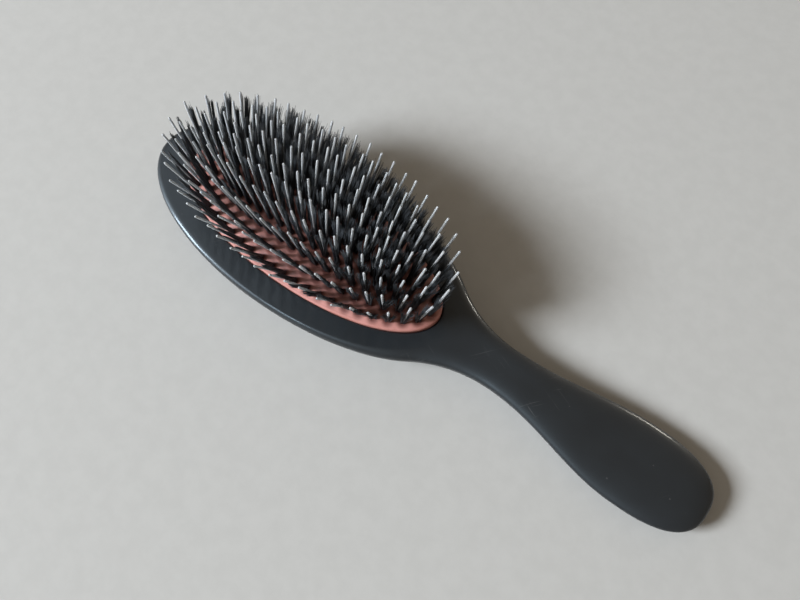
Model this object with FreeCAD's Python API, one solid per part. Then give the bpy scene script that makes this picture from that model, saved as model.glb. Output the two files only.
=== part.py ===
import FreeCAD, Part
import math
import os

# A cushion hair brush lying on its back, bristles up. Lengths are in millimetres. +X runs from the
# head to the end of the grip, +Z is up, and the origin is under the middle of the whole brush.

# Plan of the handle body
overall_length = 224.0
head_length = 133.0
head_width = 61.0
neck_width = 16.2
neck_radius = 46.0
grip_width = 29.4
grip_end_length = 26.0
grip_end_power = 2.6
grip_swell_power = 1.07

# Heights of the body above the surface that it lies on, at the head, the neck and the grip
rim_height = 14.0
head_edge_height = 12.4
neck_height = 11.7
neck_edge_height = 9.9
neck_underside = 2.4
grip_height = 8.8
grip_edge_height = 6.8
head_back_shave = 0.5
grip_back_shave = 0.3

# Width of the rounding at the body's top edge
head_edge_round = 1.6
neck_edge_round = 1.8
grip_edge_round = 2.0
edge_round_share = 0.9

# Seat of the cushion: an oval mouth, a groove under its lip and an air chamber below
pad_length = 109.6
pad_width = 42.8
pad_shift = 1.3
lip_depth = 2.6
groove_height = 2.8
groove_depth = 2.2
chamber_ledge = 1.2
chamber_floor = 6.0
pad_clearance = 0.15

# Rubber cushion: a domed skin with a bead round its skirt
pad_crown = 6.1
pad_skin = 2.0
bead_width = 1.9
vent_diameter = 1.2

# Bristle field: nested oval rings of tufts, counted from the edge of the cushion inwards
ring_inset = 3.3
ring_step_along = 4.6
ring_step_across = 4.1
tuft_pitch = 4.9
ring_powers = (2.0, 2.05, 2.15, 2.4, 4.0)
ring_count = len(ring_powers)
splay_along_share = 0.95
splay_across_share = 0.95
combed_share = 0.07

# One tuft: bristles folded round an anchor wire, with a nylon quill in the middle
tuft_length = 21.2
tuft_shank_diameter = 1.9
tuft_middle_diameter = 2.6
tuft_tip_diameter = 3.1
tuft_collar = 0.4
tuft_middle_share = 0.3
tuft_dome = 0.5
fold_diameter = 2.5
fold_height = 1.4
fold_gap = 0.3
fold_web = 0.25
hole_clearance = 0.1
quill_diameter = 0.8
quill_length = 25.2
quill_tip_diameter = 0.4
quill_tip_height = 0.4
quill_clearance = 0.05
wire_diameter = 0.7
wire_length = 2.8

# How far cutting tools run past the faces that they cut
overrun = 5.0

up = FreeCAD.Vector(0, 0, 1)
along = FreeCAD.Vector(1, 0, 0)

head_end_x = -overall_length / 2
grip_end_x = overall_length / 2
head_centre_x = head_end_x + head_length / 2
grip_widest_x = grip_end_x - grip_end_length
pad_centre = FreeCAD.Vector(head_centre_x + pad_shift, 0, 0)


def superpower(value, power):
    """Sign-keeping power that turns a circle's cosine or sine into a superellipse's."""
    digits = 12
    return math.copysign(abs(round(value, digits)) ** (2 / power), value)


def ease(value, start, end):
    """Smooth step from 0 at start to 1 at end."""
    share = min(max((value - start) / (end - start), 0), 1)
    return share * share * (3 - 2 * share)


def neck_arc():
    """Where the hollow of the neck leaves the head's ellipse, and the neck's narrowest place.

    The arc touches the ellipse at an angle found by halving, so that its lowest point is half
    the neck's width from the middle line.
    """
    long_half = head_length / 2
    wide_half = head_width / 2
    low = 0
    high = math.pi / 2
    for halving in range(60):
        angle = (low + high) / 2
        normal = FreeCAD.Vector(math.cos(angle) / long_half, math.sin(angle) / wide_half, 0).normalize()
        if wide_half * math.sin(angle) + neck_radius * normal.y < neck_width / 2 + neck_radius:
            low = angle
        else:
            high = angle
    meet_x = head_centre_x + long_half * math.cos(angle)
    return angle, meet_x, meet_x + neck_radius * normal.x


neck_angle, neck_start_x, neck_x = neck_arc()


def half_width(x):
    """Half the body's width: head ellipse, hollow neck, swelling grip, rounded end."""
    if x <= neck_start_x:
        offset = (x - head_centre_x) / (head_length / 2)
        return head_width / 2 * math.sqrt(max(1 - offset * offset, 0))
    if x <= neck_x:
        return neck_width / 2 + neck_radius - math.sqrt(neck_radius ** 2 - (neck_x - x) ** 2)
    if x <= grip_widest_x:
        share = ((x - neck_x) / (grip_widest_x - neck_x)) ** grip_swell_power
        swell = (1 - math.cos(math.pi * share)) / 2
        return neck_width / 2 + (grip_width - neck_width) / 2 * swell
    offset = min((x - grip_widest_x) / grip_end_length, 1)
    return grip_width / 2 * (1 - offset ** grip_end_power) ** (1 / grip_end_power)


def between(x, at_head, at_neck, at_grip):
    """A height that passes smoothly from the head to the neck and on to the grip."""
    first = at_head + (at_neck - at_head) * ease(x, head_centre_x, neck_x)
    return first + (at_grip - at_neck) * ease(x, neck_x, grip_widest_x)


def end_roundness(x, edge_round):
    """Shares of the top's rise and of the back's drop that are left near the two ends.

    The top falls in a quarter ellipse as wide as the edge's rounding, the back in one as long as
    the end of the plan.
    """
    if x < head_centre_x:
        from_end = x - head_end_x
        back_share = (1 - ((head_centre_x - x) / (head_length / 2)) ** 2) ** (1 / 2)
    elif x > grip_widest_x:
        from_end = grip_end_x - x
        back_share = half_width(x) / (grip_width / 2)
    else:
        return 1, 1
    return math.sqrt(1 - max(1 - from_end / edge_round, 0) ** 2), back_share


def scaled_arc(first, middle, last, place, wide, high):
    """Arc of the unit circle, across and up, stretched to an ellipse and put in its place."""
    angles = (first, middle, last)
    arc = Part.Arc(*(FreeCAD.Vector(0, math.cos(angle), math.sin(angle)) for angle in angles))
    matrix = FreeCAD.Matrix()
    matrix.scale(1, wide, high)
    matrix.move(place)
    return arc.toShape().transformGeometry(matrix)


def body_section(x):
    """Closed outline of the body at one place: a flat top with round edges over a full back."""
    wide = half_width(x)
    edge = between(x, head_edge_height, neck_edge_height, grip_edge_height)
    top = between(x, rim_height, neck_height, grip_height)
    bottom = between(x, -head_back_shave, neck_underside, -grip_back_shave)
    edge_round = between(x, head_edge_round, neck_edge_round, grip_edge_round)
    rise_share, drop_share = end_roundness(x, edge_round)
    rise = (top - edge) * rise_share
    drop = (edge - bottom) * drop_share
    round_width = min(edge_round, edge_round_share * wide)
    flat = wide - round_width
    quarter = math.pi / 2
    right = scaled_arc(0, quarter / 2, quarter, FreeCAD.Vector(x, flat, edge), round_width, rise)
    left_centre = FreeCAD.Vector(x, -flat, edge)
    left = scaled_arc(quarter, 3 * quarter / 2, 2 * quarter, left_centre, round_width, rise)
    back = scaled_arc(2 * quarter, 3 * quarter, 4 * quarter, FreeCAD.Vector(x, 0, edge), wide, drop)
    lid = Part.makeLine(FreeCAD.Vector(x, flat, edge + rise), FreeCAD.Vector(x, -flat, edge + rise))
    return Part.Wire([right, lid, left, back])


def body_stations():
    """Places of the body's sections, closer together where the outline turns.

    The first and last lie a small share of a step from the ends, so the tips are all but closed.
    """
    head_steps = 20
    neck_steps = 4
    swell_steps = 7
    end_steps = 9
    tip_share = 0.25
    places = []
    for step in [tip_share] + list(range(1, head_steps + 1)):
        angle = (math.pi - neck_angle) * step / head_steps
        places.append(head_centre_x - head_length / 2 * math.cos(angle))
    for step in range(1, neck_steps + 1):
        places.append(neck_start_x + (neck_x - neck_start_x) * step / neck_steps)
    for step in range(1, swell_steps + 1):
        places.append(neck_x + (grip_widest_x - neck_x) * step / swell_steps)
    for step in list(range(1, end_steps)) + [end_steps - tip_share]:
        angle = math.pi / 2 * step / end_steps
        places.append(grip_widest_x + grip_end_length * superpower(math.sin(angle), grip_end_power))
    return places


def oval_prism(inset, bottom, top):
    """Upright oval block whose outline lies inside the cushion's mouth by the inset."""
    centre = FreeCAD.Vector(pad_centre.x, pad_centre.y, bottom)
    ellipse = Part.Ellipse(centre, pad_length / 2 - inset, pad_width / 2 - inset)
    return Part.Face(Part.Wire([ellipse.toShape()])).extrude(up * (top - bottom))


def oval_dome(inset, bottom, shoulder, crown):
    """Oval block with a domed top: a unit profile turned round and scaled to the oval.

    The top is a parabola, so its height falls with the square of the way out to the edge.
    """
    corner = FreeCAD.Vector(0, 0, bottom)
    foot = FreeCAD.Vector(1, 0, bottom)
    edge = FreeCAD.Vector(1, 0, shoulder)
    peak = FreeCAD.Vector(0, 0, shoulder + crown)
    curve = Part.BezierCurve()
    curve.setPoles([edge, FreeCAD.Vector((edge.x + peak.x) / 2, 0, peak.z), peak])
    profile = Part.Wire([
        Part.makeLine(corner, foot),
        Part.makeLine(foot, edge),
        curve.toShape(),
        Part.makeLine(peak, corner),
    ])
    unit = Part.Face(profile).revolve(FreeCAD.Vector(0, 0, 0), up, 360)
    matrix = FreeCAD.Matrix()
    matrix.scale(pad_length / 2 - inset, pad_width / 2 - inset, 1)
    matrix.move(pad_centre)
    return unit.transformGeometry(matrix)


def handle_body():
    """One-piece moulded head, neck and grip, with the cushion's seat and a flat to lie on."""
    body = Part.makeLoft([body_section(x) for x in body_stations()], True, False)
    below = Part.makeBox(overall_length, head_width, overrun)
    below.translate(FreeCAD.Vector(head_end_x, -head_width / 2, -overrun))
    groove_top = rim_height - lip_depth
    groove_bottom = groove_top - groove_height
    mouth = oval_prism(0, groove_bottom, rim_height + overrun)
    groove = oval_prism(-groove_depth, groove_bottom, groove_top)
    chamber = oval_prism(chamber_ledge, chamber_floor, groove_bottom + overrun)
    for tool in (below, mouth, groove, chamber):
        body = body.cut(tool)
    return body


def dome_height(place):
    """Height of the cushion's outer face at a place in plan."""
    along_share = (place.x - pad_centre.x) / (pad_length / 2 - pad_clearance)
    across_share = (place.y - pad_centre.y) / (pad_width / 2 - pad_clearance)
    return rim_height + pad_crown * (1 - along_share ** 2 - across_share ** 2)


def tuft_way(place):
    """Direction in which a tuft points: near the cushion's normal, splayed along and across.

    All tufts are also combed a little towards the grip.
    """
    along_slope = 2 * pad_crown * (place.x - pad_centre.x) / (pad_length / 2) ** 2
    across_slope = 2 * pad_crown * (place.y - pad_centre.y) / (pad_width / 2) ** 2
    lean_along = splay_along_share * along_slope + combed_share
    way = FreeCAD.Vector(lean_along, splay_across_share * across_slope, 1)
    return way.normalize()


def ring_places(ring):
    """Roots of one ring's tufts, spaced evenly round an oval by the length of its line."""
    long_half = pad_length / 2 - ring_inset - ring_step_along * ring
    wide_half = pad_width / 2 - ring_inset - ring_step_across * ring
    steps = 1440
    line = []
    for step in range(steps + 1):
        angle = 2 * math.pi * step / steps
        x = long_half * superpower(math.cos(angle), ring_powers[ring])
        y = wide_half * superpower(math.sin(angle), ring_powers[ring])
        line.append(pad_centre + FreeCAD.Vector(x, y, 0))
    reach = [0]
    for before, after in zip(line, line[1:]):
        reach.append(reach[-1] + before.distanceToPoint(after))
    count = round(reach[-1] / tuft_pitch)
    stagger = ring % 2 / 2
    places = []
    step = 0
    for index in range(count):
        wanted = reach[-1] * (index + stagger) / count
        while reach[step + 1] < wanted:
            step += 1
        share = (wanted - reach[step]) / (reach[step + 1] - reach[step])
        place = line[step] + (line[step + 1] - line[step]) * share
        places.append(FreeCAD.Vector(place.x, place.y, dome_height(place)))
    return places


def tuft_frames(ring):
    """Placements that stand a tuft on each root of a ring, its axis along the tuft's way."""
    frames = []
    for place in ring_places(ring):
        way = tuft_way(place)
        side = way.cross(along.cross(way))
        turn = FreeCAD.Rotation(side, FreeCAD.Vector(0, 0, 0), way, "ZXY")
        frames.append(FreeCAD.Placement(place, turn))
    return frames


def set_out(shape, frames):
    """Copies of a shape at the given placements, as one group of separate solids."""
    copies = []
    for frame in frames:
        copy = shape.copy()
        copy.Placement = frame
        copies.append(copy)
    return Part.makeCompound(copies)


def rod(radius, bottom, top):
    """Round rod on the tuft's own axis."""
    return Part.makeCylinder(radius, top - bottom, FreeCAD.Vector(0, 0, bottom))


fold_top = -pad_skin - fold_gap
fold_bottom = fold_top - fold_height
wire_height = (fold_top + fold_bottom) / 2
quill_bottom = wire_height + wire_diameter / 2 + quill_clearance + fold_web


def anchor_wire(clearance):
    """Short wire across the fold of a tuft, behind the cushion; with clearance, its hole."""
    half_length = wire_length / 2 + clearance
    start = FreeCAD.Vector(-half_length, 0, wire_height)
    return Part.makeCylinder(wire_diameter / 2 + clearance, 2 * half_length, start, along)


def nylon_quill():
    """Straight nylon pin with a bevelled tip."""
    radius = quill_diameter / 2
    shoulder = quill_length - quill_tip_height
    tip = Part.makeCone(radius, quill_tip_diameter / 2, quill_tip_height, FreeCAD.Vector(0, 0, shoulder))
    return rod(radius, quill_bottom, shoulder).fuse(tip)


def bristle_tuft():
    """Bundle of bristles that spreads towards its tip, with its fold behind the cushion."""
    middle = tuft_length * tuft_middle_share
    outline = [
        FreeCAD.Vector(0, 0, fold_bottom),
        FreeCAD.Vector(fold_diameter / 2, 0, fold_bottom),
        FreeCAD.Vector(fold_diameter / 2, 0, fold_top),
        FreeCAD.Vector(tuft_shank_diameter / 2, 0, fold_top),
        FreeCAD.Vector(tuft_shank_diameter / 2, 0, tuft_collar),
        FreeCAD.Vector(tuft_middle_diameter / 2, 0, middle),
        FreeCAD.Vector(tuft_tip_diameter / 2, 0, tuft_length - tuft_dome),
        FreeCAD.Vector(0, 0, tuft_length),
    ]
    profile = Part.Face(Part.makePolygon(outline + outline[:1]))
    bundle = profile.revolve(FreeCAD.Vector(0, 0, 0), up, 360)
    bore = rod(quill_diameter / 2 + quill_clearance, quill_bottom, tuft_length + overrun)
    return bundle.cut(bore).cut(anchor_wire(quill_clearance))


def cushion_pad(frames):
    """Domed rubber skin with its bead in the groove, punched for the tufts and the air vent."""
    bottom = rim_height - lip_depth - groove_height + pad_clearance
    bead_top = rim_height - lip_depth - pad_clearance
    inner_shoulder = rim_height - pad_skin / 2
    inner_crown = pad_crown - pad_skin / 2
    skin = oval_dome(pad_clearance, bottom, rim_height, pad_crown)
    bead = oval_prism(pad_clearance - bead_width, bottom, bead_top)
    hollow = oval_dome(pad_clearance + pad_skin, bottom - overrun, inner_shoulder, inner_crown)
    reach = pad_skin + overrun
    punch = rod(tuft_shank_diameter / 2 + hole_clearance, -reach, reach)
    vent_ring = ring_count - 2
    vent_x = pad_length / 2 - ring_inset - ring_step_along * vent_ring
    vent_place = pad_centre + FreeCAD.Vector(vent_x, 0, 0)
    vent = Part.makeCylinder(vent_diameter / 2, pad_crown + overrun, vent_place + up * rim_height)
    return skin.fuse(bead).cut(hollow).cut(vent).cut(set_out(punch, frames))


def save(name, shape):
    """Check that a node's solids are sound, tell their number and volume, and write them."""
    if not shape.isValid():
        raise ValueError(name + " is not a valid shape")
    shape.exportStep(os.path.join("parts", name + ".step"))
    print(name, len(shape.Solids), "solids", round(shape.Volume, 1), "mm3")


os.makedirs("parts", exist_ok=True)
rings = [tuft_frames(ring) for ring in range(ring_count)]
save("handle_body", handle_body())
save("cushion_pad", cushion_pad([frame for ring in rings for frame in ring]))
for number, frames in enumerate(rings, 1):
    save("bristle_tufts_ring_" + str(number), set_out(bristle_tuft(), frames))
    save("nylon_quills_ring_" + str(number), set_out(nylon_quill(), frames))
    save("anchor_wires_ring_" + str(number), set_out(anchor_wire(0), frames))
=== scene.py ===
# %% [markdown]
# # A cushion hair brush
# The brush lies on its back with its bristles up. A black moulded body is head, neck and grip in
# one. A domed rubber cushion fills the head's oval mouth, and 186 tufts stand in it in five oval
# rings, each tuft a bundle of dark bristles round one pale nylon quill.
#
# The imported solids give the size, the place and the moving body of every piece. They are plain,
# so each one that shows is replaced here by a finer surface that follows the same formulas.

# %% Load the frame
import bmesh
import bpy
import numpy as np
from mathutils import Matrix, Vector


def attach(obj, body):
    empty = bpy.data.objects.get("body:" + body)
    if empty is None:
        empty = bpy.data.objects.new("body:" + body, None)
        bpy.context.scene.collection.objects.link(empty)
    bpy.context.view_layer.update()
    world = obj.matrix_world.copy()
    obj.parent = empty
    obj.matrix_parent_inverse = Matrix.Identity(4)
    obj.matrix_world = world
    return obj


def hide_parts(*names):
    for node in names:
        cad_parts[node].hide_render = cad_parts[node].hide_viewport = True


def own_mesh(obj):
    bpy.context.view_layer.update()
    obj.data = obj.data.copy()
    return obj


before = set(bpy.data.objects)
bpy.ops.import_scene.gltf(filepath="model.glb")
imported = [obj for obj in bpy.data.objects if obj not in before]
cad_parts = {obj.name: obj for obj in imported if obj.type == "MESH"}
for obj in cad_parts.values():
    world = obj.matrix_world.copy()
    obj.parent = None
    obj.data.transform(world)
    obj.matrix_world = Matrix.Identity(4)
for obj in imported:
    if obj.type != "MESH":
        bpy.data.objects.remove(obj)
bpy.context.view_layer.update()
MM = 0.001

# %% [markdown]
# ## The camera
# The camera comes first, so that every later picture can be laid over the photograph. It stands
# high over the near side of the brush, a little towards the grip, with a normal lens and no shift.
# Sizes are in millimetres all through the lesson, and turn into metres where they meet Blender.

# %% Camera at the photograph's angle
eye = Vector((61.2, -87.9, 242.5))
aim = Vector((-7.55, 3.35, 0.0))
camera_data = bpy.data.cameras.new("camera")
camera_data.sensor_width = 36.0
camera_data.lens = 34.2
camera_data.clip_start = 10.0 * MM
camera = bpy.data.objects.new("camera", camera_data)
camera.location = eye * MM
camera.rotation_euler = (aim - eye).to_track_quat("-Z", "Y").to_euler()
bpy.context.collection.objects.link(camera)
scene = bpy.context.scene
scene.camera = camera
scene.view_settings.view_transform = "Standard"
print("camera", round((eye - aim).length), "mm from the brush")

# %% [markdown]
# ## From arrays to meshes
# Every new piece is worked out as whole numpy arrays: a grid of points, or many small tubes at
# once. A few helpers turn them into objects. Faces come from index arithmetic, so no code here
# visits one vertex at a time.

# %% Helpers that make meshes
def grid_faces(rows, columns):
    """Quads between the neighbouring points of a grid, whose columns close into a ring.

    A quad goes down a row, then along a column, so its face looks to rows cross columns.
    """
    row = np.arange(rows - 1)[:, None]
    column = np.arange(columns)[None, :]
    beside = (column + 1) % columns
    corners = (row * columns + column, (row + 1) * columns + column,
               (row + 1) * columns + beside, row * columns + beside)
    return np.stack(np.broadcast_arrays(*corners), axis=-1).reshape(-1, 4)


def put_mesh(name, points, faces):
    """Smooth-shaded object from points in millimetres and a list of face arrays."""
    mesh = bpy.data.meshes.new(name)
    polygons = [face for part in faces for face in part.tolist()]
    mesh.from_pydata(points.reshape(-1, 3) * MM, [], polygons)
    mesh.shade_smooth()
    piece = bpy.data.objects.new(name, mesh)
    bpy.context.collection.objects.link(piece)
    print(name, len(mesh.vertices), "points", len(mesh.polygons), "faces")
    return piece


def weld(piece):
    """Merge points that meet, and turn all faces outwards."""
    merge_distance = 0.002 * MM
    work = bmesh.new()
    work.from_mesh(piece.data)
    bmesh.ops.remove_doubles(work, verts=work.verts, dist=merge_distance)
    bmesh.ops.recalc_face_normals(work, faces=work.faces)
    work.to_mesh(piece.data)
    work.free()
    piece.data.shade_smooth()
    print(piece.name, "welded to", len(piece.data.vertices), "points")


def store(piece, name, values):
    """Keep one number per point on the mesh, where a material can read it."""
    layer = piece.data.attributes.new(name, "FLOAT", "POINT")
    layer.data.foreach_set("value", np.ascontiguousarray(values, dtype=np.float32).ravel())


# %% [markdown]
# ## The plan of the body
# Seen from above, the body is a long ellipse for the head, a hollow arc down to the neck, a slow
# swell to the grip and a blunt round end. The arc touches both the ellipse and the narrowest width
# of the neck, so where it leaves the ellipse has to be solved for: a table of angles does that.

# %% Sizes of the body in plan
overall_length = 224.0
head_length = 133.0
head_width = 61.0
neck_width = 16.2
neck_radius = 46.0
grip_width = 29.4
grip_end_length = 26.0
grip_end_power = 2.6
grip_swell_power = 1.07
table_angles = 20001
head_centre = (head_length - overall_length) / 2
grip_widest = overall_length / 2 - grip_end_length


def ease(value, start, end):
    """Smooth step from 0 at start to 1 at end."""
    share = np.clip((value - start) / (end - start), 0, 1)
    return share * share * (3 - 2 * share)


def neck_arc():
    """Angle on the head's ellipse where the neck's arc begins, with its start and lowest place.

    The arc's centre lies one radius out along the ellipse's normal. Its lowest point grows with
    the angle, so the wanted width is looked up in a table.
    """
    angle = np.linspace(0, np.pi / 2, table_angles)
    slope = np.stack([np.cos(angle) / head_length, np.sin(angle) / head_width])
    normal = slope / np.linalg.norm(slope, axis=0)
    lowest = head_width / 2 * np.sin(angle) + neck_radius * (normal[1] - 1)
    meet = np.interp(neck_width / 2, lowest, angle)
    start = head_centre + head_length / 2 * np.cos(meet)
    return meet, start, start + neck_radius * np.interp(meet, angle, normal[0])


neck_angle, neck_start, neck_x = neck_arc()


def half_width(x):
    """Half the body's width at x: ellipse, hollow arc, swell and superellipse, one after another."""
    head = head_width / 2 * np.sqrt(np.clip(1 - ((x - head_centre) * 2 / head_length) ** 2, 0, 1))
    rise = np.sqrt(np.clip(neck_radius ** 2 - (neck_x - x) ** 2, 0, None))
    hollow = neck_width / 2 + neck_radius - rise
    share = np.clip((x - neck_x) / (grip_widest - neck_x), 0, 1) ** grip_swell_power
    swell = neck_width / 2 + (grip_width - neck_width) / 2 * (1 - np.cos(np.pi * share)) / 2
    past = np.clip((x - grip_widest) / grip_end_length, 0, 1)
    end = grip_width / 2 * (1 - past ** grip_end_power) ** (1 / grip_end_power)
    return np.select([x <= neck_start, x <= neck_x, x <= grip_widest], [head, hollow, swell], end)


print("neck begins at", round(float(neck_start), 1), "and is narrowest at", round(float(neck_x), 1))

# %% [markdown]
# ## The skin of the body
# The head's rim is a flat band, and the neck and the grip carry it on, lower and softly crowned.
# The edge is round, tight at the head and wide at the grip, which draws a bright line there and
# a soft sheen here. The back is full, like half an egg. A loft of cross-sections pinches at both
# tips, so the skin runs the other way: each point of the outline sends one line over the top, to
# the cushion's mouth or the grip's middle line, and one line under the back. Lines that look
# inwards stay evenly spread round both ends.

# %% Heights of the body and size of its mouth
rim_height = 14.0
head_edge_height = 12.2
neck_height = 11.7
neck_edge_height = 9.6
neck_underside = 2.4
grip_height = 8.8
grip_edge_height = 6.0
head_back_shave = 0.5
grip_back_shave = 0.3
edge_falls = (2.8, 6.0, 13.0)
pad_length = 109.6
pad_width = 42.8
pad_shift = 1.3
pad_centre = head_centre + pad_shift
lip_round = 0.6
seat_floor = 6.0


def between(x, at_head, at_neck, at_grip):
    """Measure that passes smoothly from the head to the neck and on to the grip."""
    first = at_head + (at_neck - at_head) * ease(x, head_centre, neck_x)
    return first + (at_grip - at_neck) * ease(x, neck_x, grip_widest)


def top_height(x):
    """Height of the flat top along the brush."""
    return between(x, rim_height, neck_height, grip_height)


def edge_height(x):
    """Height of the widest line round the brush."""
    return between(x, head_edge_height, neck_edge_height, grip_edge_height)


def keel_height(x):
    """Height of the back's middle line, which rises to the widest line at both ends."""
    low = between(x, -head_back_shave, neck_underside, -grip_back_shave)
    along_head = np.clip((head_centre - x) * 2 / head_length, 0, 1)
    along_end = np.clip((x - grip_widest) / grip_end_length, 0, 1)
    fullness = np.sqrt(1 - along_head ** 2) * (1 - along_end ** grip_end_power) ** (1 / grip_end_power)
    return edge_height(x) - (edge_height(x) - low) * fullness


print("rim at", rim_height, "mm, grip at", grip_height, "mm")

# %% The outline and the lines that cross it
end_points = 44
middle_points = 72
head_points = 120
mouth_end = pad_centre + pad_length / 2 + lip_round
top_hold_back = 12.0
back_hold_back = (30.0, 15.0)
fall_limit = 0.9


def half_outline():
    """Half the outline, from the grip's tip to the head's tip.

    It is a superellipse by angle, then even steps in x to the mouth's end, then an ellipse by angle.
    """
    turn = np.linspace(0, np.pi / 2, end_points)
    end_x = grip_widest + grip_end_length * np.cos(turn) ** (2 / grip_end_power)
    end_y = grip_width / 2 * np.sin(turn) ** (2 / grip_end_power)
    middle_x = np.linspace(grip_widest, mouth_end, middle_points)[1:]
    around = np.linspace(neck_angle, np.pi, head_points)
    head_x = head_centre + head_length / 2 * np.cos(around)
    x = np.concatenate([end_x, middle_x, head_x])
    y = np.concatenate([end_y, half_width(middle_x), head_width / 2 * np.sin(around)])
    return x, y


def held_back(x, at_head, at_grip):
    """Place on the middle line level with x, held back from the tips by the square of the way out."""
    past_head = np.clip((head_centre - x) * 2 / head_length, 0, 1)
    past_grip = np.clip((x - grip_widest) / grip_end_length, 0, 1)
    return x + at_head * past_head ** 2 - at_grip * past_grip ** 2


def whole(half):
    """Mirror rows of half-outline points across the middle line into closed rings."""
    other = half[..., -2:0:-1, :] * np.array([1.0, -1.0, 1.0])
    return np.concatenate([half, other], axis=-2)


outline_x, outline_y = half_outline()
reach = np.concatenate([[0], np.cumsum(np.hypot(np.diff(outline_x), np.diff(outline_y)))])
mouth_column = end_points + middle_points - 2
mouth_turn = np.pi * np.clip((reach - reach[mouth_column]) / (reach[-1] - reach[mouth_column]), 0, 1)
on_head = np.arange(len(reach)) >= mouth_column
inner_x = np.where(on_head, pad_centre + (pad_length / 2 + lip_round) * np.cos(mouth_turn),
                   held_back(outline_x, 0, top_hold_back))
inner_y = np.where(on_head, (pad_width / 2 + lip_round) * np.sin(mouth_turn), 0)
print("outline of", 2 * len(reach) - 2, "points,", round(2 * float(reach[-1])), "mm round")

# %% The body's three grids
round_steps = 22
flat_steps = 8
back_steps = 20
lip_steps = 6


def top_grid():
    """Top of half the body: a quarter ellipse up from the outline, then level to the inner line."""
    span_x = inner_x - outline_x
    span_y = inner_y - outline_y
    span = np.hypot(span_x, span_y)
    width = np.minimum(between(outline_x, *edge_falls), fall_limit * span)
    turn = np.linspace(0, np.pi / 2, round_steps)[:, None]
    level = np.linspace(0, 1, flat_steps)[1:, None]
    inwards = np.concatenate([width * (1 - np.cos(turn)), width + (span - width) * level]) / span
    lift = np.concatenate([np.sin(turn), np.ones_like(level)])
    x = outline_x + span_x * inwards
    y = outline_y + span_y * inwards
    z = edge_height(outline_x) * (1 - lift) + top_height(x) * lift
    return np.stack([x, y, z], axis=-1)


def back_grid():
    """Back of half the body: quarter ellipses down from the outline to the keel, eased flat at 0."""
    rest_softness = 0.15
    keel_x = held_back(outline_x, *back_hold_back)
    turn = np.linspace(0, np.pi / 2, back_steps)[:, None]
    x = keel_x + (outline_x - keel_x) * np.cos(turn)
    y = outline_y * np.cos(turn)
    z = edge_height(outline_x) * (1 - np.sin(turn)) + keel_height(keel_x) * np.sin(turn)
    z = (z + np.sqrt(z * z + rest_softness ** 2)) / 2
    return np.stack([x, y, z], axis=-1)


def seat_grid():
    """Cushion's seat: a rounded lip, a wall down to the floor and the floor in to the middle line."""
    turn = np.linspace(0, np.pi / 2, lip_steps)[:, None]
    inset = np.concatenate([lip_round * np.sin(turn), [[lip_round], [lip_round]]])
    drop = np.concatenate([lip_round * (1 - np.cos(turn)), [[lip_round], [lip_round]]])
    angle = mouth_turn[mouth_column:]
    x = pad_centre + (pad_length / 2 + lip_round - inset) * np.cos(angle)
    y = (pad_width / 2 + lip_round - inset) * np.sin(angle)
    z = top_height(inner_x[mouth_column:]) - drop
    z[-2:] = seat_floor
    x[-1] = pad_centre + (pad_length - pad_width) / 2 * np.cos(angle)
    y[-1] = 0
    return np.stack([x, y, z], axis=-1)


grids = [whole(top_grid()), whole(back_grid()), whole(seat_grid())]
first_points = np.cumsum([0] + [grid.shape[0] * grid.shape[1] for grid in grids])
body_points = np.concatenate([grid.reshape(-1, 3) for grid in grids])
body_faces = [grid_faces(*grid.shape[:2]) + first for grid, first in zip(grids, first_points)]
body = put_mesh("body_shell", body_points, body_faces)
weld(body)
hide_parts("handle_body")
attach(body, "handle")

# %% [markdown]
# ## Where the tufts stand
# The tufts stand in nested ovals, the outermost a true ellipse and the inner ones squarer, each
# oval shifted by half a step against the next. They lean out like the cushion's normal, and use
# has combed them all a little towards the grip. The roots are needed now, because the rubber is
# drawn in round each of them.

# %% Roots and directions of the tufts
pad_crown = 6.1
pad_clearance = 0.15
ring_inset = 3.3
ring_step_along = 4.6
ring_step_across = 4.1
tuft_pitch = 4.9
ring_powers = (2.0, 2.05, 2.15, 2.4, 4.0)
splay = 0.95
combed = 0.07
oval_angles = 1441
oval_digits = 12


def dome_height(x, y):
    """Height of the cushion: a paraboloid that falls to the rim at the edge of the oval."""
    along = (x - pad_centre) / (pad_length / 2 - pad_clearance)
    across = y / (pad_width / 2 - pad_clearance)
    return rim_height + pad_crown * (1 - along ** 2 - across ** 2)


def ring_roots(ring):
    """Roots of one ring, spaced evenly by length along a superellipse, staggered ring by ring.

    Cosines and sines are rounded, so that they are true zeros at the quarter turns.
    """
    angle = np.linspace(0, 2 * np.pi, oval_angles)
    power = 2 / ring_powers[ring]
    cosine = np.round(np.cos(angle), oval_digits)
    sine = np.round(np.sin(angle), oval_digits)
    half_long = pad_length / 2 - ring_inset - ring_step_along * ring
    half_wide = pad_width / 2 - ring_inset - ring_step_across * ring
    x = half_long * np.sign(cosine) * np.abs(cosine) ** power
    y = half_wide * np.sign(sine) * np.abs(sine) ** power
    run = np.concatenate([[0], np.cumsum(np.hypot(np.diff(x), np.diff(y)))])
    count = int(round(run[-1] / tuft_pitch))
    wanted = run[-1] * (np.arange(count) + ring % 2 / 2) / count
    root_x = pad_centre + np.interp(wanted, run, x)
    root_y = np.interp(wanted, run, y)
    return np.stack([root_x, root_y, dome_height(root_x, root_y)], axis=-1)


def unit(vectors):
    """Vectors brought to length one."""
    return vectors / np.linalg.norm(vectors, axis=-1, keepdims=True)


def tuft_ways(roots):
    """Direction of each tuft: a share of the cushion's slope at its root, plus the combing."""
    along = combed + splay * 2 * pad_crown * (roots[:, 0] - pad_centre) / (pad_length / 2) ** 2
    across = splay * 2 * pad_crown * roots[:, 1] / (pad_width / 2) ** 2
    return unit(np.stack([along, across, np.ones(len(roots))], axis=-1))


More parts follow.
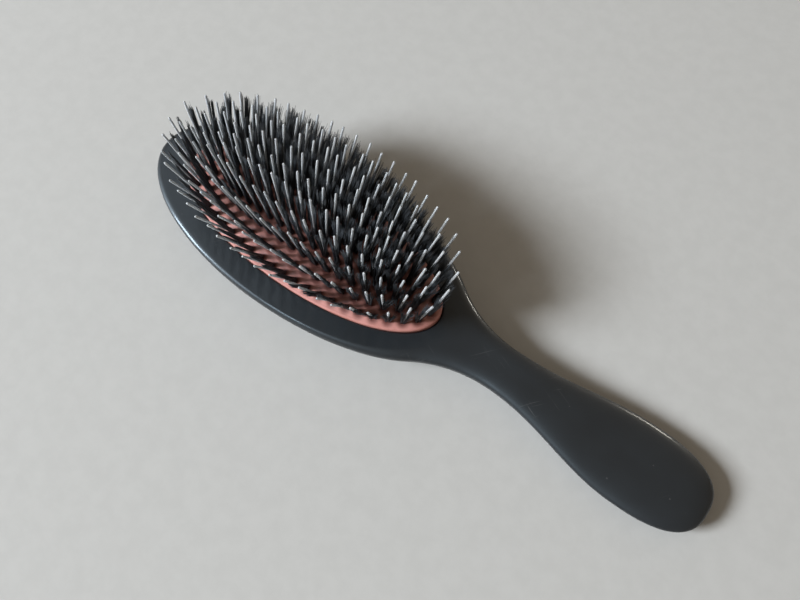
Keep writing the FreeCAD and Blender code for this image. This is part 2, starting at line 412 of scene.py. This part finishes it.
rings = [ring_roots(ring) for ring in range(len(ring_powers))]
all_roots = np.concatenate(rings)
print("tufts in each ring:", [len(roots) for roots in rings], "in all", len(all_roots))

# %% [markdown]
# ## The rubber cushion
# The cushion is an air-filled rubber skin, a shallow dome whose edge turns down into the mouth.
# Each tuft is pulled in from behind, so the rubber is drawn into a small dimple round it. Cloth
# simulation suits sewn fabric. A moulded dome is a known shape, so a polar grid gives it exactly,
# and the dimples and the small air vent are subtracted from its height.

# %% The cushion's skin
pad_rings = 96
pad_spokes = 384
shoulder_steps = 7
under_steps = 8
pad_shoulder = 0.9
pad_skin = 2.0
pad_skirt = 2.4
dimple_depth = 0.45
dimple_radius = 1.25
vent_depth = 1.6
vent_radius = 0.5
vent_sharpness = 4
vent_ring = 3
vent_x = pad_centre + pad_length / 2 - ring_inset - ring_step_along * vent_ring


def nearest_root(x, y):
    """Distance in plan from each point to the nearest tuft, taken ring by ring to save room."""
    distance = np.full(x.shape, np.inf)
    for roots in rings:
        gaps = np.hypot(x[..., None] - roots[:, 0], y[..., None] - roots[:, 1])
        distance = np.minimum(distance, gaps.min(axis=-1))
    return distance


def pad_grid():
    """Cushion's skin from the crown out, over the shoulder, down the skirt and back underneath.

    The outer face is the dome less a bell-shaped dimple at each tuft. The shoulder is a quarter
    circle, and the inner face is a lower dome, which closes the skin. Adding 0 times the angle
    spreads a height that is the same all round over every spoke.
    """
    angle = np.linspace(0, 2 * np.pi, pad_spokes, endpoint=False)[None, :]
    out = np.linspace(0, 1, pad_rings)[:, None]
    half_long = pad_length / 2 - pad_clearance - pad_shoulder
    half_wide = pad_width / 2 - pad_clearance - pad_shoulder
    x = half_long * out * np.cos(angle)
    y = half_wide * out * np.sin(angle)
    distance = nearest_root(pad_centre + x, y)
    z = rim_height + pad_crown * (1 - out ** 2) - dimple_depth * np.exp(-(distance / dimple_radius) ** 2)
    from_vent = np.hypot(pad_centre + x - vent_x, y)
    z = z - vent_depth * np.exp(-(from_vent / vent_radius) ** vent_sharpness)
    turn = np.linspace(0, np.pi / 2, shoulder_steps)[1:, None]
    swing = pad_shoulder * np.sin(turn)
    shoulder_x = (half_long + swing) * np.cos(angle)
    shoulder_y = (half_wide + swing) * np.sin(angle)
    shoulder_z = rim_height - pad_shoulder * (1 - np.cos(turn)) + 0 * angle
    foot = rim_height - pad_skirt + 0 * angle
    inner = np.linspace(1, 0, under_steps)[:, None]
    inner_plan_x = (half_long - pad_skin) * inner * np.cos(angle)
    inner_plan_y = (half_wide - pad_skin) * inner * np.sin(angle)
    inner_z = rim_height - pad_skin + pad_crown * (1 - inner ** 2) + 0 * angle
    inner_z[0] = rim_height - pad_skirt
    rows_x = np.concatenate([x, shoulder_x, shoulder_x[-1:], inner_plan_x])
    rows_y = np.concatenate([y, shoulder_y, shoulder_y[-1:], inner_plan_y])
    rows_z = np.concatenate([z, shoulder_z, foot, inner_z])
    return np.stack([pad_centre + rows_x, rows_y, rows_z], axis=-1)


pad_points = pad_grid()
pad = put_mesh("cushion_dome", pad_points, [grid_faces(*pad_points.shape[:2])])
weld(pad)
pad_at = np.empty(len(pad.data.vertices) * 3)
pad.data.vertices.foreach_get("co", pad_at)
pad_at = pad_at.reshape(-1, 3) / MM
root_gap = nearest_root(pad_at[:, 0], pad_at[:, 1])
store(pad, "root_gap", root_gap)
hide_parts("cushion_pad")
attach(pad, "handle")
print("greatest distance from a tuft on the cushion:", round(float(root_gap.max()), 1), "mm")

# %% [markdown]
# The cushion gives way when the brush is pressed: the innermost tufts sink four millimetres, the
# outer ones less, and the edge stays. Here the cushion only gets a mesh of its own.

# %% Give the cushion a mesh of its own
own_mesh(pad)

# %% [markdown]
# ## Many tubes at once
# Bristles and quills are thin tubes. All the tubes of a ring are one array: a middle line for each
# tube, two directions across it and a radius for each step. Few sides and few steps are enough,
# because there are thousands of them.

# %% Helpers for bundles of tubes
def tube_points(lines, side, third, radius, sides):
    """Rings of points round many middle lines: line + radius (cos side + sin third)."""
    angle = np.linspace(0, 2 * np.pi, sides, endpoint=False)
    around = np.cos(angle)[:, None] * side[:, None, :] + np.sin(angle)[:, None] * third[:, None, :]
    return lines[:, :, None, :] + radius[:, :, None, None] * around[:, None, :, :]


def tube_faces(tubes, steps, sides):
    """Quads round every tube, looking out, and one flat face at each end."""
    quads = grid_faces(steps, sides)[:, ::-1]
    caps = np.stack([np.arange(sides)[::-1], (steps - 1) * sides + np.arange(sides)])
    first = (np.arange(tubes) * steps * sides)[:, None, None]
    return [(quads + first).reshape(-1, 4), (caps + first).reshape(-1, sides)]


def cross_directions(ways, along):
    """Two directions square to each way, the first as near to a given one as it can be."""
    side = unit(along - ways * (ways * along).sum(axis=-1, keepdims=True))
    return side, np.cross(ways, side)


def leaning(ways, spread, random):
    """Ways tilted a little at random, as tufts are that have been used."""
    return unit(ways + random.normal(0, spread, ways.shape))


# %% [markdown]
# ## The nylon quills
# One stiff quill stands in the middle of each tuft and out over the bristles. Its tip is cut
# blunt and polished round, so the last steps of the tube draw in like a small dome.

# %% Quills, one piece for each ring
quill_length = 25.2
quill_diameter = 0.8
quill_root = 1.6
quill_sides = 8
quill_height_shares = np.array([0.0, 0.4, 0.8])
quill_tip_drops = np.array([0.45, 0.2, 0.04])
quill_tip_widths = np.array([1.0, 0.82, 0.42])
quill_lean = 0.016
quill_unevenness = 0.2
quill_uneven_limit = 0.5
quill_seed = 100
along_brush = np.array([1.0, 0.0, 0.0])


def quill_ring(ring, roots):
    """Quills of one ring: straight tubes from under the rubber to a rounded tip."""
    random = np.random.default_rng(quill_seed + ring)
    ways = leaning(tuft_ways(roots), quill_lean, random)
    side, third = cross_directions(ways, along_brush)
    uneven = random.normal(0, quill_unevenness, len(roots))
    length = quill_length + uneven.clip(-quill_uneven_limit, quill_uneven_limit)
    shaft = -quill_root + quill_height_shares[None, :] * (length[:, None] + quill_root)
    height = np.concatenate([shaft, length[:, None] - quill_tip_drops[None, :]], axis=1)
    width = np.concatenate([np.ones(len(quill_height_shares)), quill_tip_widths]) * quill_diameter / 2
    lines = roots[:, None, :] + height[:, :, None] * ways[:, None, :]
    radius = np.broadcast_to(width, height.shape)
    name = "nylon_quills_" + str(ring + 1)
    points = tube_points(lines, side, third, radius, quill_sides)
    piece = put_mesh(name, points, tube_faces(len(roots), height.shape[1], quill_sides))
    store(piece, "reach", np.repeat(height / quill_length, quill_sides))
    store(piece, "tone", np.repeat(random.random(len(roots)), height.shape[1] * quill_sides))
    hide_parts("nylon_quills_ring_" + str(ring + 1))
    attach(piece, "ring_" + str(ring + 1))
    return piece


quills = [quill_ring(ring, roots) for ring, roots in enumerate(rings)]

# %% [markdown]
# ## The bristles
# A tuft is sixty bristles, packed tight where they leave the rubber. At the top they part into
# four clumps side by side along the ring, each blunt and of its own length, and a stray bristle
# stands out here and there. At the head's end use has swept the soft bristles to the far side of
# the stiff quill, so the quill shows in front of them. All are worn, most of all towards the grip
# and a little more on the near side. The tufts of the far side and the grip end stand open like
# fans.

# %% Bristles, one piece for each ring
bristles_in_tuft = 60
clumps_in_tuft = 4
bristle_sides = 3
bristle_shares = np.array([0.0, 0.3, 0.58, 0.82, 1.0])
bristle_widths = np.array([1.0, 1.0, 0.95, 0.85, 0.45])
bristle_diameter = 0.24
bristle_root = 1.8
bristle_girths = (0.8, 1.15)
tuft_length = 21.2
tuft_wear = 1.4
tuft_wear_along = 2.6
tuft_wear_across = 0.6
tuft_shank = 1.6
tuft_lean = 0.02
tuft_openings = (0.55, 2.4)
opening_span = (-1.0, 0.7)
tuft_swept = np.array([0.0, 1.6, 0.0])
sweep_span = (-1.0, 0.7)
clump_step = 0.6
clump_shift = 0.3
clump_fray = 0.22
clump_unevenness = 0.8
clump_raggedness = 1.6
stray_length = 2.5
stray_power = 14
bow_power = 1.35
bristle_seed = 200


def tuft_state(roots):
    """Length, opening and sweep of each tuft, from its place along and across the cushion."""
    along = (roots[:, 0] - pad_centre) / (pad_length / 2)
    across = roots[:, 1] / (pad_width / 2)
    length = tuft_length - tuft_wear - tuft_wear_along * along + tuft_wear_across * across
    sweep = tuft_swept * (1 - ease(along, *sweep_span))[:, None]
    opening = np.interp(ease(along + across, *opening_span), (0, 1), tuft_openings)
    return length, opening, sweep


def bristle_ring(ring, roots):
    """Bristles of one ring, each from its clump's part of the shank to its clump's end.

    On the way the offset from the tuft's axis and the sweep change by a power of the height.
    """
    random = np.random.default_rng(bristle_seed + ring)
    every_bristle = (len(roots), bristles_in_tuft)
    every_clump = (len(roots), clumps_in_tuft)
    ways = leaning(tuft_ways(roots), tuft_lean, random)
    side, third = cross_directions(ways, np.roll(roots, -1, axis=0) - np.roll(roots, 1, axis=0))
    clump = np.arange(bristles_in_tuft) % clumps_in_tuft
    clump_place = clump - (clumps_in_tuft - 1) / 2
    spot = random.uniform(-tuft_shank / 2, tuft_shank / 2, every_bristle + (2,))
    spot[..., 0] = spot[..., 0] / clumps_in_tuft + clump_place * tuft_shank / clumps_in_tuft
    whole_length, opening, sweep = tuft_state(roots)
    tip = random.normal(0, clump_fray, every_bristle + (2,))
    tip += random.uniform(-clump_shift, clump_shift, every_clump + (2,))[:, clump]
    tip[..., 0] += clump_place * clump_step
    tip *= opening[:, None, None]
    length = whole_length[:, None] + random.normal(0, clump_unevenness, every_clump)[:, clump]
    length += stray_length * random.random(every_bristle) ** stray_power
    length -= clump_raggedness * random.random(every_bristle)
    share = bristle_shares[None, None, :]
    height = -bristle_root + share * (length[..., None] + bristle_root)
    bow = share[..., None] ** bow_power
    flat = spot[:, :, None, :] * (1 - bow) + tip[:, :, None, :] * bow
    lines = (roots[:, None, None, :] + height[..., None] * ways[:, None, None, :]
             + bow * sweep[:, None, None, :]
             + flat[..., :1] * side[:, None, None, :] + flat[..., 1:] * third[:, None, None, :])
    steps = len(bristle_shares)
    tubes = len(roots) * bristles_in_tuft
    girth = bristle_diameter / 2 * random.uniform(*bristle_girths, tubes)
    points = tube_points(lines.reshape(tubes, steps, 3), np.repeat(side, bristles_in_tuft, axis=0),
                         np.repeat(third, bristles_in_tuft, axis=0),
                         girth[:, None] * bristle_widths[None, :], bristle_sides)
    name = "tuft_bristles_" + str(ring + 1)
    piece = put_mesh(name, points, tube_faces(tubes, steps, bristle_sides))
    store(piece, "reach", np.repeat(height.ravel() / tuft_length, bristle_sides))
    store(piece, "tone", np.repeat(random.random(tubes), steps * bristle_sides))
    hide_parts("bristle_tufts_ring_" + str(ring + 1))
    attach(piece, "ring_" + str(ring + 1))
    return piece


bristles = [bristle_ring(ring, roots) for ring, roots in enumerate(rings)]

# %% [markdown]
# ## Building blocks for the finishes
# A finish is a small net of shader nodes. One helper adds a node with its inputs, and effects
# that more than one material shares are node groups: dust specks, fine scratches and a cloudy
# mottle. They read object coordinates, in metres, so a scale of 1000 is one pattern a millimetre.

# %% Helpers for shader nodes
def add_node(tree, kind, inputs=None, **settings):
    """Add a node, set its properties, and give each named input a value or a link."""
    made = tree.nodes.new(kind)
    for key, value in settings.items():
        setattr(made, key, value)
    for key, value in (inputs or {}).items():
        if isinstance(value, bpy.types.NodeSocket):
            tree.links.new(value, made.inputs[key])
        else:
            made.inputs[key].default_value = value
    return made


def math_node(tree, operation, first, second, third=0.0, clamp=False):
    """Answer of one sum, worked out by a node."""
    return add_node(tree, "ShaderNodeMath", {0: first, 1: second, 2: third}, operation=operation,
                    use_clamp=clamp).outputs[0]


def remap(tree, value, low, high, to_low=0.0, to_high=1.0):
    """Value moved from one range to another, smoothly and without overshoot."""
    inputs = {"Value": value, "From Min": low, "From Max": high, "To Min": to_low, "To Max": to_high}
    mapped = add_node(tree, "ShaderNodeMapRange", inputs, interpolation_type="SMOOTHSTEP")
    return mapped.outputs["Result"]


def mix_colour(tree, share, first, second):
    """Colour between two colours."""
    mixer = add_node(tree, "ShaderNodeMix", {"Factor": share}, data_type="RGBA")
    colour_inputs = [socket for socket in mixer.inputs if socket.type == "RGBA"]
    for socket, value in zip(colour_inputs, (first, second)):
        if isinstance(value, bpy.types.NodeSocket):
            tree.links.new(value, socket)
        else:
            socket.default_value = (*value, 1.0)
    return next(socket for socket in mixer.outputs if socket.type == "RGBA")


def new_group(name, inputs, output):
    """Node group with float inputs, a vector input for the place and one mask output, still empty."""
    group = bpy.data.node_groups.new(name, "ShaderNodeTree")
    group.interface.new_socket("Place", in_out="INPUT", socket_type="NodeSocketVector")
    for label, value in inputs.items():
        socket = group.interface.new_socket(label, in_out="INPUT", socket_type="NodeSocketFloat")
        socket.default_value = value
    group.interface.new_socket(output, in_out="OUTPUT", socket_type="NodeSocketFloat")
    given = group.nodes.new("NodeGroupInput").outputs
    result = group.nodes.new("NodeGroupOutput").inputs
    return group, given, result


def place_group(tree, group, inputs):
    """Put a group into a material with its own values, and return its mask."""
    return add_node(tree, "ShaderNodeGroup", inputs, node_tree=group).outputs[0]


def new_material(name, **sockets):
    """New material with its constant sockets set, its tree, its sockets and object coordinates."""
    material = bpy.data.materials.new(name)
    material.use_nodes = True
    tree = material.node_tree
    shader = tree.nodes["Principled BSDF"]
    for key, value in sockets.items():
        shader.inputs[key.replace("_", " ")].default_value = value
    place = add_node(tree, "ShaderNodeTexCoord").outputs["Object"]
    return material, tree, shader.inputs, place


def dress(piece, material):
    """Give a piece one material all over."""
    piece.data.materials.clear()
    piece.data.materials.append(material)


# %% Shared effects: mottle, specks and scratches
def cloudy_mottle():
    """Group of soft clouds, where the middle part of a noise is spread over 0 to 1."""
    cloud_range = (0.3, 0.7)
    group, given, result = new_group("cloudy_mottle", {"Scale": 100.0, "Detail": 4.0}, "Mottle")
    cloud = add_node(group, "ShaderNodeTexNoise", {"Vector": given["Place"], "Scale": given["Scale"],
                                                   "Detail": given["Detail"], "Roughness": 0.6})
    group.links.new(remap(group, cloud.outputs["Fac"], *cloud_range), result["Mottle"])
    return group


def dust_specks():
    """Group of round specks: a share of the cells gets one, each with a size of its own."""
    defaults = {"Scale": 400.0, "Size": 0.12, "Share": 0.1}
    group, given, result = new_group("dust_specks", defaults, "Specks")
    cells = add_node(group, "ShaderNodeTexVoronoi", {"Vector": given["Place"], "Scale": given["Scale"]})
    picked = add_node(group, "ShaderNodeSeparateColor", {"Color": cells.outputs["Color"]})
    chosen = math_node(group, "LESS_THAN", picked.outputs["Red"], given["Share"])
    speck_size = math_node(group, "MULTIPLY", given["Size"], picked.outputs["Green"])
    near = math_node(group, "LESS_THAN", cells.outputs["Distance"], speck_size)
    group.links.new(math_node(group, "MULTIPLY", chosen, near), result["Specks"])
    return group


def fine_scratches():
    """Group of thin strokes: the peaks of a noise drawn out one way, kept only in patches."""
    stretch = (45.0, 2600.0, 500.0)
    stroke_range = (0.66, 0.74)
    patch_range = (0.48, 0.66)
    group, given, result = new_group("fine_scratches", {"Turn": 0.3, "Amount": 0.5}, "Scratches")
    turned = add_node(group, "ShaderNodeVectorRotate",
                      {"Vector": given["Place"], "Angle": given["Turn"]}, rotation_type="Z_AXIS")
    drawn = add_node(group, "ShaderNodeVectorMath", {0: turned.outputs[0], 1: stretch},
                     operation="MULTIPLY")
    strokes = add_node(group, "ShaderNodeTexNoise",
                       {"Vector": drawn.outputs[0], "Scale": 1.0, "Detail": 2.0})
    patches = add_node(group, "ShaderNodeTexNoise",
                       {"Vector": given["Place"], "Scale": 60.0, "Detail": 2.0})
    fine = remap(group, strokes.outputs["Fac"], *stroke_range)
    where = remap(group, patches.outputs["Fac"], *patch_range)
    marked = math_node(group, "MULTIPLY", fine, where)
    group.links.new(math_node(group, "MULTIPLY", marked, given["Amount"]), result["Scratches"])
    return group


mottle = cloudy_mottle()
specks = dust_specks()
scratches = fine_scratches()
print("shared effects:", [group.name for group in bpy.data.node_groups])

# %% [markdown]
# ## Black moulded body
# The body is one moulding of black plastic, polished once and dulled by use. Almost all that one
# sees of it is reflection, so the work is in the roughness: smudges broaden the shine in places,
# and fine scratches and dust catch the light.

# %% Gloss black plastic
def moulded_black():
    """Near-black gloss whose roughness comes from smudges and scratches, with a few pale specks."""
    black = (0.0155, 0.019, 0.023)
    worn_grey = (0.1, 0.1, 0.105)
    mark_paleness = 0.7
    dust_paleness = 0.4
    least_roughness = 0.4
    smudge_roughness = 0.12
    mark_roughness = 0.25
    mark_depth = 0.6
    material, tree, sockets, place = new_material(
        "moulded_black", IOR=1.5, Coat_Weight=0.35, Coat_Roughness=0.12)
    smudge = place_group(tree, mottle, {"Place": place, "Scale": 55.0, "Detail": 5.0})
    along = place_group(tree, scratches, {"Place": place, "Turn": 0.35, "Amount": 0.9})
    across = place_group(tree, scratches, {"Place": place, "Turn": -0.9, "Amount": 0.6})
    marks = math_node(tree, "MAXIMUM", along, across)
    dust = place_group(tree, specks, {"Place": place, "Scale": 330.0, "Size": 0.12, "Share": 0.12})
    worn = math_node(tree, "MAXIMUM", math_node(tree, "MULTIPLY", marks, mark_paleness),
                     math_node(tree, "MULTIPLY", dust, dust_paleness))
    tree.links.new(mix_colour(tree, worn, black, worn_grey), sockets["Base Color"])
    smudged = math_node(tree, "MULTIPLY_ADD", smudge, smudge_roughness, least_roughness)
    marked = math_node(tree, "MULTIPLY", marks, mark_roughness)
    tree.links.new(math_node(tree, "ADD", smudged, marked, clamp=True), sockets["Roughness"])
    peel = add_node(tree, "ShaderNodeTexNoise", {"Vector": place, "Scale": 260.0, "Detail": 2.0})
    cut = math_node(tree, "MULTIPLY", marks, mark_depth)
    height = math_node(tree, "SUBTRACT", peel.outputs["Fac"], cut)
    bump = add_node(tree, "ShaderNodeBump", {"Height": height, "Strength": 0.05, "Distance": 0.3 * MM})
    tree.links.new(bump.outputs["Normal"], sockets["Normal"])
    return material


dress(body, moulded_black())
print("body dressed in", body.data.materials[0].name)

# %% [markdown]
# ## Salmon rubber
# The cushion is soft salmon-coloured rubber, dull with age. Colour clouds over it, dust and grease
# darken it round each tuft, together with painted shade from the tufts in the same brown, and its
# skin has a fine grain. The distance to the nearest tuft was kept on the mesh, so the grime and
# painted shade can follow it.

# %% Aged rubber
def aged_rubber():
    """Two salmon tones in clouds, browned by grime and painted shade near the tufts, on a fine grain."""
    dark_salmon = (0.54, 0.235, 0.2)
    light_salmon = (0.645, 0.3, 0.265)
    grime_and_shade_brown = (0.14, 0.045, 0.035)
    grime_and_shade_reach = (1.0, 3.0)
    grime_and_shade_strength = 0.85
    dust_colour = (0.75, 0.5, 0.42)
    dust_strength = 0.5
    roughness_range = (0.5, 0.68)
    material, tree, sockets, place = new_material("aged_rubber", Specular_IOR_Level=0.35)
    clouds = place_group(tree, mottle, {"Place": place, "Scale": 140.0, "Detail": 4.0})
    colour = mix_colour(tree, clouds, dark_salmon, light_salmon)
    gap = add_node(tree, "ShaderNodeAttribute", attribute_name="root_gap").outputs["Fac"]
    # Painted shade: the rubber browns towards each tuft, partly grime and partly the tufts' own shade.
    grime_and_shade = remap(tree, gap, *grime_and_shade_reach, grime_and_shade_strength, 0.0)
    colour = mix_colour(tree, grime_and_shade, colour, grime_and_shade_brown)
    dust = place_group(tree, specks, {"Place": place, "Scale": 700.0, "Size": 0.2, "Share": 0.08})
    dusty = math_node(tree, "MULTIPLY", dust, dust_strength)
    colour = mix_colour(tree, dusty, colour, dust_colour)
    tree.links.new(colour, sockets["Base Color"])
    tree.links.new(remap(tree, clouds, 0.0, 1.0, *roughness_range), sockets["Roughness"])
    grain = add_node(tree, "ShaderNodeTexNoise", {"Vector": place, "Scale": 1800.0, "Detail": 3.0})
    bump = add_node(tree, "ShaderNodeBump", {"Height": grain.outputs["Fac"], "Strength": 0.25,
                                             "Distance": 0.15 * MM})
    tree.links.new(bump.outputs["Normal"], sockets["Normal"])
    return material


dress(pad, aged_rubber())
print("cushion dressed in", pad.data.materials[0].name)

# %% [markdown]
# ## Nylon and bristle
# The quills are cloudy pale nylon, which lets light in, and they are dirtier towards the root.
# The bristles are near black, some of them a shade paler, with paler tips. Both read two numbers
# that were kept on each tube: how far up a point is, and a tone for the whole tube.

# %% Nylon and bristle finishes
def cloudy_nylon():
    """Pale grey nylon, darker at the root, with a slight tone for each quill."""
    nylon_depth = 1.2
    darker_grey = (0.39, 0.415, 0.44)
    lighter_grey = (0.465, 0.485, 0.505)
    soil_grey = (0.32, 0.32, 0.32)
    soil_reach = (0.2, 0.6)
    soil_strength = 0.4
    roughness_range = (0.48, 0.62)
    material, tree, sockets, place = new_material(
        "cloudy_nylon", Specular_IOR_Level=0.22, Subsurface_Weight=1.0,
        Subsurface_Radius=(1.0, 1.0, 1.0), Subsurface_Scale=nylon_depth * MM)
    height = add_node(tree, "ShaderNodeAttribute", attribute_name="reach").outputs["Fac"]
    tone = add_node(tree, "ShaderNodeAttribute", attribute_name="tone").outputs["Fac"]
    base = mix_colour(tree, tone, darker_grey, lighter_grey)
    soiled = remap(tree, height, *soil_reach, soil_strength, 0.0)
    tree.links.new(mix_colour(tree, soiled, base, soil_grey), sockets["Base Color"])
    streaks = place_group(tree, mottle, {"Place": place, "Scale": 600.0, "Detail": 2.0})
    tree.links.new(remap(tree, streaks, 0.0, 1.0, *roughness_range), sockets["Roughness"])
    return material


def dark_bristle():
    """Near-black bristle with a tone of its own on each hair and slightly paler tips."""
    near_black = (0.072, 0.081, 0.094)
    paler_black = (0.095, 0.097, 0.1)
    paler_tones = (0.6, 1.0)
    tip_grey = (0.105, 0.104, 0.103)
    tip_reach = (0.8, 1.05)
    tip_strength = 0.35
    roughness_range = (0.5, 0.65)
    material, tree, sockets, place = new_material("dark_bristle", Specular_IOR_Level=0.3)
    height = add_node(tree, "ShaderNodeAttribute", attribute_name="reach").outputs["Fac"]
    tone = add_node(tree, "ShaderNodeAttribute", attribute_name="tone").outputs["Fac"]
    base = mix_colour(tree, remap(tree, tone, *paler_tones), near_black, paler_black)
    tipped = remap(tree, height, *tip_reach, 0.0, tip_strength)
    tree.links.new(mix_colour(tree, tipped, base, tip_grey), sockets["Base Color"])
    scales = place_group(tree, mottle, {"Place": place, "Scale": 900.0, "Detail": 2.0})
    tree.links.new(remap(tree, scales, 0.0, 1.0, *roughness_range), sockets["Roughness"])
    return material


nylon = cloudy_nylon()
hair = dark_bristle()
for piece in quills:
    dress(piece, nylon)
for piece in bristles:
    dress(piece, hair)
print("dressed", len(quills), "rings of quills and", len(bristles), "rings of bristles")

# %% [markdown]
# ## Anchor wires
# A short steel wire holds the fold of each tuft behind the rubber. The wires hide under the
# cushion and their solids already have the right shape, so they only get a finish.

# %% Drawn steel wire
def drawn_steel():
    """Bright steel with fine duller lines."""
    bright = (0.56, 0.56, 0.57)
    dull = (0.35, 0.34, 0.33)
    roughness_range = (0.26, 0.45)
    material, tree, sockets, place = new_material("drawn_steel", Metallic=1.0)
    drawn = place_group(tree, scratches, {"Place": place, "Turn": 0.0, "Amount": 1.0})
    tree.links.new(mix_colour(tree, drawn, bright, dull), sockets["Base Color"])
    tree.links.new(remap(tree, drawn, 0.0, 1.0, *roughness_range), sockets["Roughness"])
    return material


steel = drawn_steel()
wires = [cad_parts["anchor_wires_ring_" + str(ring + 1)] for ring in range(len(rings))]
for wire in wires:
    dress(wire, steel)
print("dressed", len(wires), "groups of wires")

# %% [markdown]
# ## Floor and light
# The brush lies on a plain pale board. One large soft lamp stands low on the left of the picture
# and throws the shadow, and a warm world fills it in. Black gloss shows little but reflections,
# so four sheets of light stand round the brush as reflector cards do in a studio, and are seen in
# the gloss alone: one past the head's end draws the bright line on its near edge, one beyond the
# head gives the rim its sheen, one on the near side gives it to the grip, and one catches the far
# edge.

# %% Pale floor
floor_half = 4000.0
floor_corners = np.array([[-1.0, -1.0, 0.0], [1.0, -1.0, 0.0], [1.0, 1.0, 0.0], [-1.0, 1.0, 0.0]])


def pale_board():
    """Dull board of two pale greys in faint clouds."""
    darker_grey = (0.575, 0.575, 0.565)
    lighter_grey = (0.60, 0.60, 0.59)
    material, tree, sockets, place = new_material(
        "pale_board", Roughness=0.8, Specular_IOR_Level=0.2)
    fibre = place_group(tree, mottle, {"Place": place, "Scale": 160.0, "Detail": 6.0})
    tree.links.new(mix_colour(tree, fibre, darker_grey, lighter_grey), sockets["Base Color"])
    return material


floor = put_mesh("floor", floor_corners * floor_half, [np.arange(len(floor_corners))[None, :]])
dress(floor, pale_board())

# %% Lamps and world
lamp_target = Vector((-20.0, 0.0, 10.0))
room_colour = (1.0, 0.85, 0.67, 1.0)
room_strength = 0.21


def area_lamp(name, place, size, power, colour, shines):
    """Soft sheet of light facing the brush, which lights surfaces or only shines in their gloss."""
    data = bpy.data.lights.new(name, "AREA")
    data.shape = "RECTANGLE"
    data.size = size[0] * MM
    data.size_y = size[1] * MM
    data.energy = power
    data.color = colour
    lamp = bpy.data.objects.new(name, data)
    lamp.location = Vector(place) * MM
    lamp.rotation_euler = (lamp_target - Vector(place)).to_track_quat("-Z", "Y").to_euler()
    lamp.visible_glossy = shines
    lamp.visible_diffuse = not shines
    bpy.context.collection.objects.link(lamp)


# Each lamp has a name, a place and a size in millimetres, a power in watts and a colour.
area_lamp("key_light", (-1665, -1953, 1605), (930, 930), 134, (0.915, 0.962, 1.0), shines=False)
area_lamp("window_sheet", (-1481, -1183, 694), (450, 800), 58, (0.7, 0.86, 1.0), shines=True)
area_lamp("rim_sheet", (-740, 345, 1035), (700, 650), 1.4, (0.66, 0.84, 1.0), shines=True)
area_lamp("near_sheet", (-398, -1039, 1195), (350, 500), 10.5, (0.65, 0.85, 1.0), shines=True)
area_lamp("far_sheet", (217, 1186, 322), (110, 120), 1.6, (1.0, 0.95, 0.85), shines=True)
world = bpy.data.worlds.new("soft_room")
world.use_nodes = True
background = world.node_tree.nodes["Background"].inputs
background["Color"].default_value = room_colour
background["Strength"].default_value = room_strength
scene.world = world
print("lamps:", [data.name for data in bpy.data.lights])
